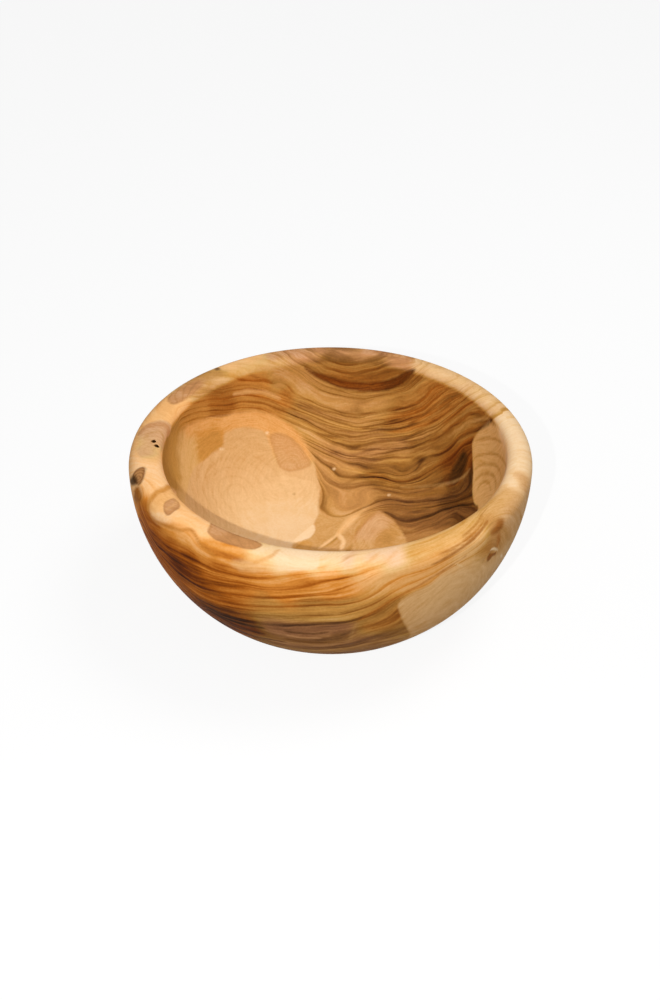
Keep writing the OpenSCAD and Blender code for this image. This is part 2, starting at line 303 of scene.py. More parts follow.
# Shapes laid over the figure, where it breaks off. Each has its outline in pixels, then any stretch of it
# that the photograph doesn't show (inside or outside: azimuth, height), or an ellipse's middle and halves;
# the pixel that its faint rings lie about and the gap between them; and its looks
PATCHES = [
    {
        "name": "left_wall", "rings_about": (238, 494), "ring_gap": 3.4,
        "outline": [
            309, 448, 313, 460, 316, 472, 319, 484, 320, 493, 318, 505, 322, 514, 333, 518, 346, 517,
            357, 512, 367, 507, 359, 516, 349, 523, 342, 530, 335, 538, 327, 544, 318, 548],
        "inside": [-95, 13, -92, 25, -95, 40, -105, 47, -125, 48, -150, 46, -160, 38],
        "outline_after": [
            184, 482, 180, 470, 178, 455, 179, 440, 183, 430, 189, 424, 205, 418, 221, 416, 237, 412,
            253, 410, 269, 413, 285, 421, 299, 433],
        "looks": [
            spot(0.32, 0.6, [
                189, 429, 205, 423, 221, 420, 237, 416, 253, 414, 269, 418, 285, 427,
                299, 439, 307, 451], softness=1),
            spot(0.29, 0.05, [182, 440, 181, 455, 183, 470], softness=3),
            spot(0.44, 0.25, [207, 440, 215, 437, 212, 446, 204, 450]),
            spot(0.3, 0.05, [191, 445, 190, 460], softness=2.2),
            spot(0.35, -0.2, [330, 530, 338, 523, 326, 538, 350, 517], softness=0.5),
            spot(0.26, -0.3, [300, 474, 290, 475, 309, 473, 314, 490], softness=0.5),
        ],
    },
    {
        "name": "right_sapwood", "rings_about": (488, 495), "ring_gap": 2.8,
        "outline": [472, 440, 472, 455, 473, 470, 472, 490, 473, 503, 480, 507],
        "inside": [-12, 22, -25, 24, -35, 32, -38, 40, -35, 48, -20, 49],
        "outline_after": [512, 468, 511, 450, 506, 436, 500, 425, 488, 422, 478, 432],
        "looks": [
            spot(0.3, 0.05, [477, 445, 477, 460, 478, 480, 480, 498], rings=0.1, softness=0.4, edge=0.05),
            spot(0.29, 0.05, [498, 445, 500, 460, 498, 475, 492, 435], rings=0.1, softness=1.5),
            spot(0.12, -0.3, [510, 455, 510, 470, 503, 432], softness=1.5),
        ],
    },
    {
        "name": "smooth_side", "rings_about": (440, 605), "ring_gap": 5,
        "outline": [397, 603, 399, 612, 402, 620, 407, 629, 411, 636],
        "outside": [-62, 5, -45, 3, -25, 6, -5, 14, 3, 26, -4, 34, -20, 36.5, -32, 36],
        "outline_after": [490, 561, 470, 563, 455, 567, 440, 577, 430, 585, 410, 593],
        "looks": [
            spot(0.32, -0.35, [405, 610, 415, 625, 403, 600], softness=0.4, edge=0.05),
            spot(0.29, -0.3, [430, 600, 445, 590], softness=0.8),
            spot(0.28, -0.3, [462, 572, 480, 566], softness=3.5),
        ],
    },
    {
        "name": "eye_crescent", "rings_about": (352, 352), "ring_gap": 1.7,
        "outline": [
            302, 366, 314, 371, 328, 376.5, 344, 381, 362, 382.5, 380, 382, 394, 378, 404, 372,
            412, 369, 417, 369, 412, 376, 401, 385, 390, 390, 376, 392, 358, 391, 340, 388, 325, 382,
            311, 375],
        "looks": [
            spot(0.73, 0.9, [320, 377, 340, 385, 372, 387], rings=0.3, cover=0.9, edge=0.08),
            spot(0.81, 0.8, [392, 385, 405, 377], rings=0.3, cover=0.9, edge=0.08),
        ],
    },
    {
        "name": "near_triangle", "rings_about": (389, 536), "ring_gap": 2.6,
        "outline": [
            352, 548, 352, 538, 357, 531, 362, 524, 370, 516, 379, 510, 387, 515, 394, 520, 400, 528,
            404, 535, 407, 542],
        "inside": [-45, 16, -50, 28, -65, 34, -80, 28, -88, 16],
        "looks": [
            spot(0.3, -0.6, [365, 535, 375, 525], rings=0.15, edge=0.1),
            spot(0.42, -0.2, [389, 537], rings=0.2),
            spot(0.33, -0.25, [399, 540, 360, 545], rings=0.2),
        ],
    },
    {
        "name": "rim_patch", "rings_about": (205, 597), "ring_gap": 1.5,
        "outline": [
            207.5, 530, 209, 525, 214, 523, 227, 529.5, 239, 534.5, 254, 540.5, 264, 545, 257, 550,
            245, 549, 229, 544.5, 215, 540, 209, 535],
        "looks": [
            spot(0.37, -0.85, [212, 530], rings=0.25, softness=0.35, edge=0.08),
            spot(0.43, -0.8, [235, 541, 250, 546], rings=0.25, softness=0.4, edge=0.06),
        ],
    },
    # Pale wood on the near rim with a painted highlight of the lamps, palest where the highlight lies
    {
        "name": "pale_rim_and_highlight",
        "outline": [
            266, 551, 256, 556, 242, 560, 230, 561, 236, 568, 246, 572.5, 258, 571.5, 272, 570,
            290, 571, 308, 570, 318, 569, 321, 559, 321, 549],
        "inside": [-92, 46, -103, 46],
        "looks": [
            spot(0.07, -0.4, [285, 558, 305, 559, 315, 557], cover=0.85, softness=0.5),
            spot(0.2, 0.5, [245, 566, 258, 567], cover=0.7, softness=1.4),
        ],
    },
    {
        "name": "back_rim_patch", "rings_about": (225, 445), "ring_gap": 1.4,
        "outline": [
            168, 402, 169, 395, 176, 388, 186, 382, 197, 379, 205, 380, 203, 386, 197, 392, 188, 398,
            178, 404, 172, 405],
        "looks": [
            spot(0.36, -0.85, [176, 396, 172, 401], rings=0.5, edge=0.06),
            spot(0.42, -0.85, [190, 388, 198, 385], rings=0.5, softness=1.2),
        ],
    },
    {
        "name": "arched_knot", "rings_about": (158, 452), "ring_gap": 1.6,
        "outline": [
            137, 440, 140, 433, 147, 425, 153, 422, 160, 420.5, 168, 422, 171.5, 427, 170, 433,
            165, 440, 163, 450, 161, 460, 157, 464, 148, 462, 140, 458, 136, 450],
        "looks": [
            spot(0.3, -0.85, [150, 433, 157, 430, 162, 435, 161, 445], rings=0.4, softness=0.8),
            spot(0.3, -0.85, [142, 447, 147, 453, 150, 443], rings=0.3, softness=1),
            spot(0.22, 0.7, [152, 461, 160, 459, 160, 451, 138, 445], rings=0.2, softness=1.6),
        ],
    },
    {
        "name": "knot_halo", "rings_about": (171, 507), "ring_gap": 2.2,
        "ellipse": ((164, 505), (16, 18)),
        "looks": [
            spot(0.25, 0.7, [153, 505, 158, 496, 165, 492], rings=0.2, softness=0.7),
            spot(0.15, 0.9, [178, 515, 168, 521, 180, 497, 155, 518], softness=2),
        ],
    },
    {
        "name": "end_knot", "rings_about": (138, 478), "ring_gap": 1,
        "outline": [132, 479, 134, 472, 139, 468, 147, 467, 145, 475, 142, 483, 138, 487],
        "looks": [
            spot(0.47, -0.7, [139, 476], rings=1, softness=0.5, edge=0.15),
        ],
    },
    {
        "name": "low_knot", "rings_about": (139, 495), "ring_gap": 1.5,
        "ellipse": ((138, 495), (4, 9)),
        "looks": [
            spot(0.6, 0.5, [140, 495], rings=0.4, softness=1.2),
        ],
    },
]
INLAYS = [
    {
        "name": "pale_basin", "rings_about": (237, 494), "ring_gap": 3.2,
        "outline": [
            189, 482, 191, 475, 195, 466, 205, 460, 213, 452, 224, 446, 223, 436, 226, 431, 241, 427,
            257, 428, 267, 433, 271, 445, 274, 457, 278, 468, 283, 475, 299, 479, 315, 481, 319, 494,
            317, 505, 319, 513, 315, 522, 307, 538, 293, 547],
        "inside": [-115, 14, -120, 25, -140, 30, -160, 30],
        "looks": [
            spot(0.3, -0.35, [215, 470, 232, 468, 205, 482], rings=0.2, softness=0.5),
            spot(0.26, -0.3, [222, 490, 245, 482, 265, 472], rings=0.25, softness=0.5),
            spot(0.21, -0.25, [240, 502, 262, 494, 285, 488, 308, 492], rings=0.15, softness=0.5),
            spot(0.16, -0.2, [258, 515, 278, 508, 300, 505, 312, 508], rings=0.1, softness=0.5),
            spot(0.12, -0.2, [278, 527, 295, 522, 290, 538], softness=0.5),
            spot(0.31, -0.3, [245, 440, 258, 445, 240, 455, 230, 450, 262, 460], rings=0.1, softness=0.8),
        ],
    },
    {
        "name": "knot_core",
        "outline": [163, 508, 165, 502, 173, 497, 179, 502, 180.5, 507, 176, 511, 168, 517, 164, 513],
        "looks": [
            spot(0.36, -0.85, [168, 505], softness=0.35, edge=0.08),
            spot(0.4, -0.85, [177, 509, 174, 513], softness=0.35, edge=0.08),
        ],
    },
    {
        "name": "yellow_vein",
        "outline": [
            370, 506, 360, 510.5, 352, 515, 345, 521, 340, 527, 335, 533.5, 339, 537, 343, 531,
            349, 527, 355, 521, 362, 513],
        "looks": [
            spot(0.2, 0.4, [342, 530, 350, 521], cover=0.9, softness=0.9),
            spot(0.26, 0.4, [366, 508], cover=0.7, softness=1.4),
        ],
    },
]

# Shapes with one look. Areas: layer, name, tone, warmth, cover, softness, edge, and the outline
AREAS = [
    ("patch", "pale_wedge", 0.11, -0.1, 0.8, 1.3, 0, [
        325, 570, 337, 567, 346, 560, 350, 551, 336, 551, 328, 559]),
    ("patch", "pale_second_wedge", 0.14, 0, 0.7, 1.3, 0, [
        353, 567, 364, 561, 372, 551, 360, 551, 354, 559]),
    ("inlay", "near_black", 0.92, 0, 0.95, 1.1, 0, [
        447, 482, 451, 470, 457, 460, 463, 451, 468, 453, 467, 465, 463, 476, 456, 484]),
    ("inlay", "swirl", 0.64, 0.6, 0.85, 1, 0, [
        503, 518, 504, 524, 500, 532, 493, 535, 490, 533, 495, 526, 498, 519]),
    ("inlay", "swirl_haze", 0.52, 0.4, 0.65, 1.8, 0, [
        489, 540, 494, 543, 493, 551, 484, 556, 476, 555, 480, 548]),
    ("inlay", "dark_block", 0.7, -0.4, 0.6, 1, 0, [330, 634, 350, 634, 348, 641, 331, 642]),
    ("mark", "basin_lobe", 0.36, -0.6, 0.8, 0.6, 0.06, [
        268, 434, 280, 432, 293, 438, 303, 449, 309, 458, 312, 466, 300, 470, 288, 472, 280, 469,
        276, 460, 272, 447]),
    ("mark", "bright_leaf", 0.03, 0.2, 0.9, 0.4, 0, [
        314, 523, 316, 530, 312, 537, 303, 540, 291, 543, 298, 536, 306, 530]),
    ("mark", "leaf_shade", 0.38, 0.2, 0.8, 0.6, 0, [
        290, 545, 300, 541, 309, 540, 314, 545, 310, 549, 296, 549]),
    ("mark", "yellow_fork", 0.15, 0.4, 1, 0.5, 0, [
        338, 533, 343, 536, 346.5, 541, 345, 545.5, 342, 550.5, 338.5, 550, 341, 545, 341.5, 541,
        337.5, 538]),
    # Painted shade in the hollow under the chip, over the flaw's dents
    ("mark", "flaw_pit", 0.72, 0.6, 0.9, 0.5, 0, [
        497, 551, 496, 555, 492, 556, 490, 560, 487, 562, 486, 558, 489, 554, 493, 553]),
]
# Strokes that taper to both ends: layer, name, tone, warmth, half width in millimetres, cover,
# softness, and the pixels that the stroke runs through
LINES = [
    ("inlay", "knot_arch", 0.39, -0.9, 1.2, 0.9, 0.6, [
        138, 436, 143, 429, 152, 425, 161, 424.5, 167, 427, 169, 431, 167, 436]),
    ("inlay", "halo_arch", 0.44, 0.6, 0.9, 0.9, 0.7, [
        148, 512, 149, 504, 153, 497, 159, 491.5, 167, 489, 174, 492]),
    ("inlay", "swirl_tail", 0.58, 0.75, 0.8, 0.7, 0.8, [498, 534, 499, 540, 497, 547]),
    ("mark", "yellow_branch", 0.17, 0.3, 0.45, 1, 0.5, [318, 549, 328, 542, 335.5, 536.5, 338, 533]),
    ("mark", "gold_streak", 0.26, 0.3, 0.7, 0.6, 0.6, [233, 394, 249, 391, 265, 392, 281, 399]),
    ("mark", "floor_streak", 0.34, 0, 0.5, 0.35, 0.6, [
        400, 487, 425, 486, 442, 485, 456, 481, 466, 475, 470, 468]),
    ("mark", "wall_streak", 0.34, 0, 0.5, 0.35, 0.6, [448, 437, 458, 429, 470, 422, 480, 419, 490, 418]),
    ("mark", "knot_inner_arch", 0.44, -0.3, 0.35, 0.7, 0.5, [
        144, 439, 150, 433, 158, 431, 163, 434, 163.5, 442, 161, 452]),
    ("mark", "rim_wave", 0.5, 0.6, 0.5, 0.85, 0.6, [
        148, 512, 152, 518, 158, 523, 166, 526, 173, 527.5, 180, 531, 187, 529, 193, 531, 197, 538,
        200, 545, 206, 551, 216, 556]),
    ("mark", "rim_line_left", 0.4, 0.6, 0.5, 0.6, 0.6, [
        279, 549, 276, 553, 270, 557, 260, 561, 250, 564]),
    ("mark", "rim_line_middle", 0.34, 0.6, 0.4, 0.6, 0.6, [345, 572, 360, 567, 372, 560, 380, 552]),
    ("mark", "rim_line_right", 0.34, 0.6, 0.4, 0.6, 0.6, [362, 573, 378, 567, 390, 559, 397, 551]),
    ("mark", "side_line", 0.58, 0.9, 0.35, 0.75, 0.5, [
        357, 622, 371, 613, 386, 603, 397, 597, 416, 587, 434, 576, 452, 565, 467, 555]),
    # The chip's pale lip, with a painted highlight along it
    ("mark", "flaw_lip", 0.06, 0, 0.4, 1, 0.3, [490, 551, 492, 549, 495, 548.5, 498, 551]),
    ("mark", "scratch", 0.1, 0, 0.25, 0.8, 0.3, [455, 563, 459, 565, 463, 567]),
    ("mark", "knot_crack_left", 0.3, 0.4, 0.35, 0.4, 0.3, [164, 511, 168, 509, 173, 506]),
    ("mark", "knot_crack_right", 0.3, 0.4, 0.35, 0.4, 0.3, [172, 507, 176, 503, 179, 499]),
    ("mark", "pale_line", 0.36, 0, 0.4, 0.25, 0.6, [350, 640, 353, 630, 358, 622]),
    ("mark", "left_black_high", 0.97, 0.4, 0.7, 0.9, 0.8, [
        200, 602, 212, 609.5, 226, 615, 240, 619, 254, 622.5]),
    ("mark", "left_black", 1, 0, 0.8, 0.9, 0.8, [206, 608, 219, 616, 234, 621, 248, 625, 264, 628]),
    ("mark", "left_black_low", 0.94, 0.2, 0.6, 0.9, 0.7, [220, 620, 236, 626.5, 250, 630.5, 266, 634]),
    ("mark", "left_black_edge", 0.9, 0, 0.5, 0.85, 0.6, [236, 630, 252, 635.5, 268, 639, 286, 642]),
    ("mark", "bottom_line_high", 0.8, -0.3, 0.5, 0.85, 0.5, [284, 631, 298, 633, 314, 634, 328, 632]),
    ("mark", "bottom_line_middle", 0.78, 0.2, 0.5, 0.85, 0.5, [284, 638, 300, 641, 322, 643, 345, 642]),
    ("mark", "bottom_line_low", 0.76, -0.2, 0.5, 0.8, 0.5, [306, 647, 325, 648, 350, 646, 372, 640]),
    ("mark", "bottom_light", 0.4, -0.9, 0.5, 0.8, 0.5, [286, 635, 302, 637.5, 322, 638]),
    ("mark", "pale_arc_top", 0.47, 0, 0.5, 0.75, 0.6, [475, 441, 485, 437.5, 495, 438.5, 502, 443]),
    ("mark", "pale_arc_high", 0.47, 0, 0.5, 0.8, 0.6, [
        473.5, 458, 480, 455, 490, 453, 499, 455, 504, 462, 506, 470]),
    ("mark", "pale_arc_middle", 0.48, 0, 0.5, 0.8, 0.6, [
        474, 470, 480, 465, 490, 463, 497.5, 466, 500.5, 472.5, 501, 480]),
    ("mark", "pale_arc_low", 0.48, 0, 0.5, 0.8, 0.6, [
        475, 481, 480, 475, 487.5, 472.5, 494, 475.5, 496, 482.5, 495, 490]),
    ("mark", "pale_arc_core", 0.46, 0, 0.5, 0.75, 0.6, [
        477, 491, 480, 484, 485.5, 480.5, 490, 484, 490.5, 491]),
    ("mark", "rim_streak_low", 0.62, 0.5, 0.5, 0.85, 0.4, [
        430, 566, 446, 558, 460, 549, 472, 540, 481, 530, 488, 520]),
    ("mark", "rim_streak_high", 0.56, 0.5, 0.4, 0.8, 0.4, [
        438, 555, 452, 549, 466, 540, 477, 530, 484, 520]),
    ("mark", "rim_streak_back", 0.54, 0.3, 0.4, 0.8, 0.4, [462, 537, 473, 528, 481, 518, 487, 508]),
]
# Ellipses: layer, name, tone, warmth, cover, softness, middle, halves
DOTS = [
    ("inlay", "end_black", 0.95, 0, 0.9, 0.8, (134, 481), (4, 5)),
    ("mark", "rim_fleck", 0.85, 0, 0.8, 0.6, (217, 369), (3, 1.5)),
    ("mark", "flaw_speck", 0.08, -0.2, 0.9, 0.3, (501.5, 556), (1.2, 2)),
    # The pale specks here, all but the dark one, are dust with a painted glint of the lamps on each
    ("mark", "basin_speck", 0.02, 0, 0.8, 0.4, (222, 449), (3, 1.3)),
    ("mark", "basin_speck_back", 0.04, 0, 0.8, 0.4, (267, 433), (1.8, 1.3)),
    ("mark", "basin_speck_dark", 0.5, 0, 0.8, 0.4, (294, 494), (1.3, 1.3)),
    ("mark", "floor_speck", 0.1, 0, 0.8, 0.4, (334, 469), (1.5, 1.3)),
    ("mark", "floor_speck_right", 0.1, 0, 0.8, 0.4, (389, 495), (1.5, 1.3)),
]


def one_look(name, tone, warmth, pixels, cover, softness, edge=0.0, **form):
    """A shape that looks the same all over."""
    look = spot(tone, warmth, pixels, cover=cover, softness=softness, edge=edge)
    return {"name": name, "looks": [look], **form}


LAYERS = {"patch": PATCHES, "inlay": INLAYS, "mark": []}
for layer, *look, cover, softness, edge, outline in AREAS:
    LAYERS[layer].append(one_look(*look, outline, cover, softness, edge, outline=outline))
for layer, *look, half_width, cover, softness, stroke in LINES:
    LAYERS[layer].append(one_look(*look, stroke, cover, softness, stroke=stroke, half_width=half_width))
for layer, *look, cover, softness, middle, halves in DOTS:
    LAYERS[layer].append(one_look(*look, middle, cover, softness, ellipse=(middle, halves)))

# Dents in the surface: name, pixel, radius and depth in millimetres
DENTS = [
    ("flaw_high", (491, 554), 1.3, 0.5),
    ("flaw_low", (486, 559), 1.3, 0.4),
    ("knot_core", (172, 507), 4.0, 0.12),
    ("end_knot", (139, 477), 3.5, 0.2),
    ("wormholes", (156, 444), 2.6, 0.15),
]


def pairs(numbers):
    """A list of places that runs x, y, x, y, with one row for each place."""
    return np.reshape(numbers, (-1, 2))


def flat_angle(point):
    return math.atan2(point[1], point[0])


def arc(centre, radius, start, end):
    count = max(2, round(abs(end - start) * radius / SECTION_STEP))
    angles = np.linspace(start, end, count, endpoint=False)
    return centre + radius * np.stack([np.cos(angles), np.sin(angles)], axis=1)


def line(start, end):
    count = max(2, round(math.dist(start, end) / SECTION_STEP))
    return np.linspace(start, end, count, endpoint=False)


def section():
    """Points of the section from the middle of the floor, over the rim, to the middle of the base.

    Returns the radius, the height and the share of the hollow's shift at each point."""
    widest = DISH_H - RIM_OUTER_R
    side = np.array([OUTER_R - SIDE_R, widest])
    turn = np.array([math.cos(SIDE_SWEEP), -math.sin(SIDE_SWEEP)])
    belly = side + (SIDE_R - BELLY_R) * turn
    foot = np.array([belly[0] + math.sqrt((BELLY_R - FOOT_R) ** 2 - (FOOT_R - belly[1]) ** 2), FOOT_R])
    lip = DISH_H - RIM_INNER_R
    floor = np.array([0.0, FLOOR_T + FLOOR_R])
    wall_r = (FLOOR_R ** 2 - MOUTH_R ** 2 - (floor[1] - lip) ** 2) / (2 * (FLOOR_R - MOUTH_R))
    wall = np.array([MOUTH_R - wall_r, lip])
    wall_start = flat_angle(wall - floor)
    foot_start = flat_angle(foot - belly)
    quarter = math.pi / 2
    crest_in = (MOUTH_R + RIM_INNER_R, DISH_H)
    crest_out = (OUTER_R - RIM_OUTER_R, DISH_H)
    hollow = np.concatenate([
        arc(floor, FLOOR_R, -quarter, wall_start),
        arc(wall, wall_r, wall_start, 0),
        arc(np.array([crest_in[0], lip]), RIM_INNER_R, math.pi, quarter),
    ])
    land = line(crest_in, crest_out)
    outside = np.concatenate([
        arc(np.array([crest_out[0], widest]), RIM_OUTER_R, quarter, 0),
        arc(side, SIDE_R, 0, -SIDE_SWEEP),
        arc(belly, BELLY_R, -SIDE_SWEEP, foot_start),
        arc(foot, FOOT_R, foot_start, -quarter),
        line((foot[0], 0.0), (0.0, 0.0)),
        [(0.0, 0.0)],
    ])
    shift = np.concatenate([np.ones(len(hollow)), np.linspace(1, 0, len(land)), np.zeros(len(outside))])
    points = np.concatenate([hollow, land, outside])
    return points[:, 0], points[:, 1], shift


def smooth_line(values, odd):
    """Even out values along the section with a bell curve; odd ones change sign past the axis."""
    reach = round(SANDING_REACH / SECTION_STEP)
    offsets = np.arange(-reach, reach + 1) * SECTION_STEP
    weights = np.exp(-0.5 * (offsets / SANDING) ** 2)
    sign = -1 if odd else 1
    before = sign * values[reach:0:-1]
    after = sign * values[-2:-reach - 2:-1]
    return np.convolve(np.concatenate([before, values, after]), weights / weights.sum(), "valid")


def cube_sphere(count):
    """Unit directions and quads of a sphere unfolded from a cube."""
    steps = np.tan(np.linspace(-math.pi / 4, math.pi / 4, count + 1))
    across, along = np.meshgrid(steps, steps, indexing="ij")
    one = np.ones_like(across)
    sides = [
        (one, across, along),
        (-one, -across, along),
        (-across, one, along),
        (across, -one, along),
        (across, along, one),
        (along, across, -one),
    ]
    points = np.concatenate([np.stack(side, axis=-1).reshape(-1, 3) for side in sides])
    points /= np.linalg.norm(points, axis=1, keepdims=True)
    keys = np.round(points * count * POINT_STEPS).astype(np.int64)
    first, index = np.unique(keys, axis=0, return_index=True, return_inverse=True)[1:]
    index = index.reshape(len(sides), count + 1, count + 1)
    corners = [index[:, :-1, :-1], index[:, 1:, :-1], index[:, 1:, 1:], index[:, :-1, 1:]]
    return points[first], np.stack(corners, axis=-1).reshape(-1, 4)


class Turning:
    """The turned surface: every place on it is named by a unit direction, up for the middle of the
    floor, level for the rim's outside, down for the middle of the base."""

    def __init__(self):
        radius, height, self.shift = section()
        self.radius = smooth_line(radius, odd=True)
        self.height = smooth_line(height, odd=False)
        steps = np.hypot(np.diff(self.radius), np.diff(self.height))
        self.run = np.concatenate([[0], np.cumsum(steps)])
        self.length = self.run[-1]
        self.crest = int(np.argmax(self.height))
        self.base = int(np.argmax(self.height[self.crest:] < BASE_LEVEL)) + self.crest

    def points(self, directions):
        place = np.arccos(np.clip(directions[:, 2], -1, 1)) / math.pi * self.length
        turn = np.arctan2(directions[:, 1], directions[:, 0])
        reach = np.interp(place, self.run, self.radius)
        return np.stack([
            reach * np.cos(turn) + HOLLOW_SHIFT * np.interp(place, self.run, self.shift),
            reach * np.sin(turn),
            np.interp(place, self.run, self.height),
        ], axis=1)

    def direction(self, azimuth, place):
        fall = math.pi * place / self.length
        turn = math.radians(azimuth)
        return (math.sin(fall) * math.cos(turn), math.sin(fall) * math.sin(turn), math.cos(fall))

    def inside(self, azimuth, height):
        part = slice(0, self.crest)
        return self.direction(azimuth, np.interp(height, self.height[part], self.run[part]))

    def outside(self, azimuth, height):
        part = slice(self.crest, self.base)
        return self.direction(azimuth, np.interp(-height, -self.height[part], self.run[part]))

    def under(self, azimuth, radius):
        part = slice(self.base, None)
        return self.direction(azimuth, np.interp(-radius, -self.radius[part], self.run[part]))


def vertex_normals(points, quads):
    corners = points[quads]
    normals = np.cross(corners[:, 2] - corners[:, 0], corners[:, 3] - corners[:, 1])
    total = np.zeros_like(points)
    for corner in quads.T:
        np.add.at(total, corner, normals)
    return total / np.linalg.norm(total, axis=1, keepdims=True)


def hand_worked(points, quads, directions, turning):
    """The points moved in a little: uneven sanding everywhere but on the base, and the dents."""
    uneven = np.array([noise.noise(Vector(point) / UNEVEN_SPREAD) for point in points])
    depth = UNEVEN_DEPTH * (0.5 + 0.5 * uneven) * np.clip(points[:, 2] / FOOT_R, 0, 1)
    photo = Photo(points, quads, directions)
    radius = turning.length / math.pi
    for _, pixel, reach, deep in DENTS:
        gap = radius * np.sqrt(np.maximum(2 - 2 * directions @ photo.direction(pixel), 0))
        depth += deep * np.exp(-(2 * gap / reach) ** 2)
    return points - vertex_normals(points, quads) * depth[:, None]


class Photo:
    """Finds the place on the surface that the photograph shows at a pixel."""

    def __init__(self, points, quads, directions):
        self.points = points
        self.quads = quads
        self.directions = directions
        self.tree = BVHTree.FromPolygons(points.tolist(), quads.tolist())
        slope = CAMERA_ELEVATION
        self.back = Vector((0, -math.cos(slope), math.sin(slope)))
        self.up = Vector((0, math.sin(slope), math.cos(slope)))
        self.eye = Vector((0, 0, AIM_HEIGHT)) + self.back * CAMERA_DISTANCE

    def direction(self, pixel):
        """Unit direction of the place at a pixel, or None where the pixel misses the dish."""
        right = Vector((1, 0, 0)) * (pixel[0] - AIM_PIXEL[0])
        ray = right + self.up * (AIM_PIXEL[1] - pixel[1]) - self.back * FOCAL_PIXELS
        place, _, face, _ = self.tree.ray_cast(self.eye, ray)
        if face is None:
            return None
        corners = self.quads[face]
        weights = poly_3d_calc([Vector(self.points[corner]) for corner in corners], place)
        direction = np.array(weights) @ self.directions[corners]
        return direction / np.linalg.norm(direction)

    def directions_at(self, pixels):
        found = [self.direction(pixel) for pixel in pairs(pixels)]
        return [direction for direction in found if direction is not None]


# Pixels between the points taken along a traced vein
TRACE_STEP = 6
# How round the ring levels run between the traces, and how far they may miss them
RING_SOFTNESS = 0.05
RING_SLACK = 0.002
# Darkness and width of the veins that the photograph doesn't show, and along the quiet rim
HIDDEN_VEIN = (0.6, 0.22)
QUIET_VEIN = (0.0, 0.2)
# Waves of the rings outside as a share of those inside, and how softly the two meet on the rim
OUTSIDE_WAVE_SHARE = 0.35
WAVE_BLEND = 0.2
# Reach over which a traced value holds before it gives way to the next, in the sphere's radii, how steeply
# it does, and the points that are worked out at a time
SPREAD_EASE = 0.04
SPREAD_POWER = 4
CHUNK = 4000


def resample(pixels):
    """Points at even steps along a line through pixels."""
    pixels = pairs(pixels)
    run = np.concatenate([[0], np.cumsum(np.hypot(*np.diff(pixels, axis=0).T))])
    places = np.linspace(0, run[-1], max(2, round(run[-1] / TRACE_STEP)))
    return np.stack([np.interp(places, run, pixels[:, axis]) for axis in (0, 1)], axis=1)


def gather(rows, find):
    """Directions and values of rows that end in a list of places."""
    centres = []
    values = []
    for *value, places in rows:
        found = find(places)
        centres += found
        values += [value] * len(found)
    return centres, values


def ring_levels(centres, levels, targets):
    """Smooth field that takes the traced ring levels along the traces."""
    def kernel(first, second):
        return np.sqrt(np.maximum(2 - 2 * first @ second.T, 0) + RING_SOFTNESS ** 2)

    count = len(centres)
    system = np.ones((count + 1, count + 1))
    system[:count, :count] = kernel(centres, centres) - RING_SLACK * np.eye(count)
    system[count, count] = 0
    weights = np.linalg.solve(system, np.append(levels, 0))
    parts = [
        kernel(targets[start:start + CHUNK], centres) @ weights[:count]
        for start in range(0, len(targets), CHUNK)
    ]
    return np.concatenate(parts) + weights[count]


def spread(centres, values, targets):
    """Values at the targets, taken mostly from the nearest centres."""
    parts = []
    for start in range(0, len(targets), CHUNK):
        gaps = np.maximum(2 - 2 * targets[start:start + CHUNK] @ centres.T, 0)
        weights = (gaps + SPREAD_EASE ** 2) ** (-SPREAD_POWER / 2)
        parts.append(weights @ values / weights.sum(axis=1, keepdims=True))
    return np.concatenate(parts)


def ring_fields(photo, turning, targets):
    """Ring level, darkness and width of the veins, and how far they wave, at the targets."""
    veins = [row[1:] for row in VEINS]
    centres, values = gather(veins, lambda pixels: photo.directions_at(resample(pixels)))
    for side, guides in HIDDEN_RINGS.items():
        for *place, level in guides:
            centres.append(getattr(turning, side)(*place))
            values.append((level, *HIDDEN_VEIN))
    values = np.array(values)
    quiet = photo.directions_at(QUIET_RIM)
    level = ring_levels(np.array(centres), values[:, 0], targets)
    looks = np.concatenate([values[:, 1:], [QUIET_VEIN] * len(quiet)])
    look = spread(np.array(centres + quiet), looks, targets)
    rim_rise = math.cos(math.pi * turning.run[turning.crest] / turning.length)
    inside = np.clip((targets[:, 2] - rim_rise) / WAVE_BLEND + 0.5, 0, 1)
    wave = OUTSIDE_WAVE_SHARE + (1 - OUTSIDE_WAVE_SHARE) * inside
    return np.column_stack([level, look, wave])


# Depth below the crest, as a share of the rim's inner rounding, of the lip where the looks of the hollow meet
# those of the rim, and the width over which they do
LIP_SHARE = 0.8
LIP_BLEND = 1.2


def look_fields(photo, turning, targets):
    """Tone, warmth and share of streaks of the wood between the veins, at the targets."""
    centres, values = gather([row[1:] for row in LOOKS], photo.directions_at)
    for side, looks in HIDDEN_LOOKS.items():
        place = getattr(turning, side)
        found = gather([row[1:] for row in looks], lambda places: [place(*pair) for pair in pairs(places)])
        centres += found[0]
        values += found[1]
    centres = np.array(centres)
    values = np.array(values)
    lip_rise = turning.inside(0, DISH_H - LIP_SHARE * RIM_INNER_R)[2]
    hollow = centres[:, 2] > lip_rise
    inner = spread(centres[hollow], values[hollow], targets)
    outer = spread(centres[~hollow], values[~hollow], targets)
    past = (np.arccos(lip_rise) - np.arccos(np.clip(targets[:, 2], -1, 1))) * turning.length / math.pi
    share = np.clip(past / LIP_BLEND + 0.5, 0, 1)[:, None]
    return share * inner + (1 - share) * outer


# Corners of an ellipse's outline, and how far a layer's depth is followed to each side of its edge
ELLIPSE_CORNERS = 24
DEPTH_LIMIT = 40.0
# Reach in millimetres around a shape within which it counts
SHAPE_REACH = 12.0
# Share of each edge that rounding a corner takes, how often it is done, and how bluntly a stroke ends
CORNER_SHARE = 0.25
CORNER_CUTS = 2
TAPER = 0.35
# Stands in for zero where something is divided by it
TINY = 1e-12


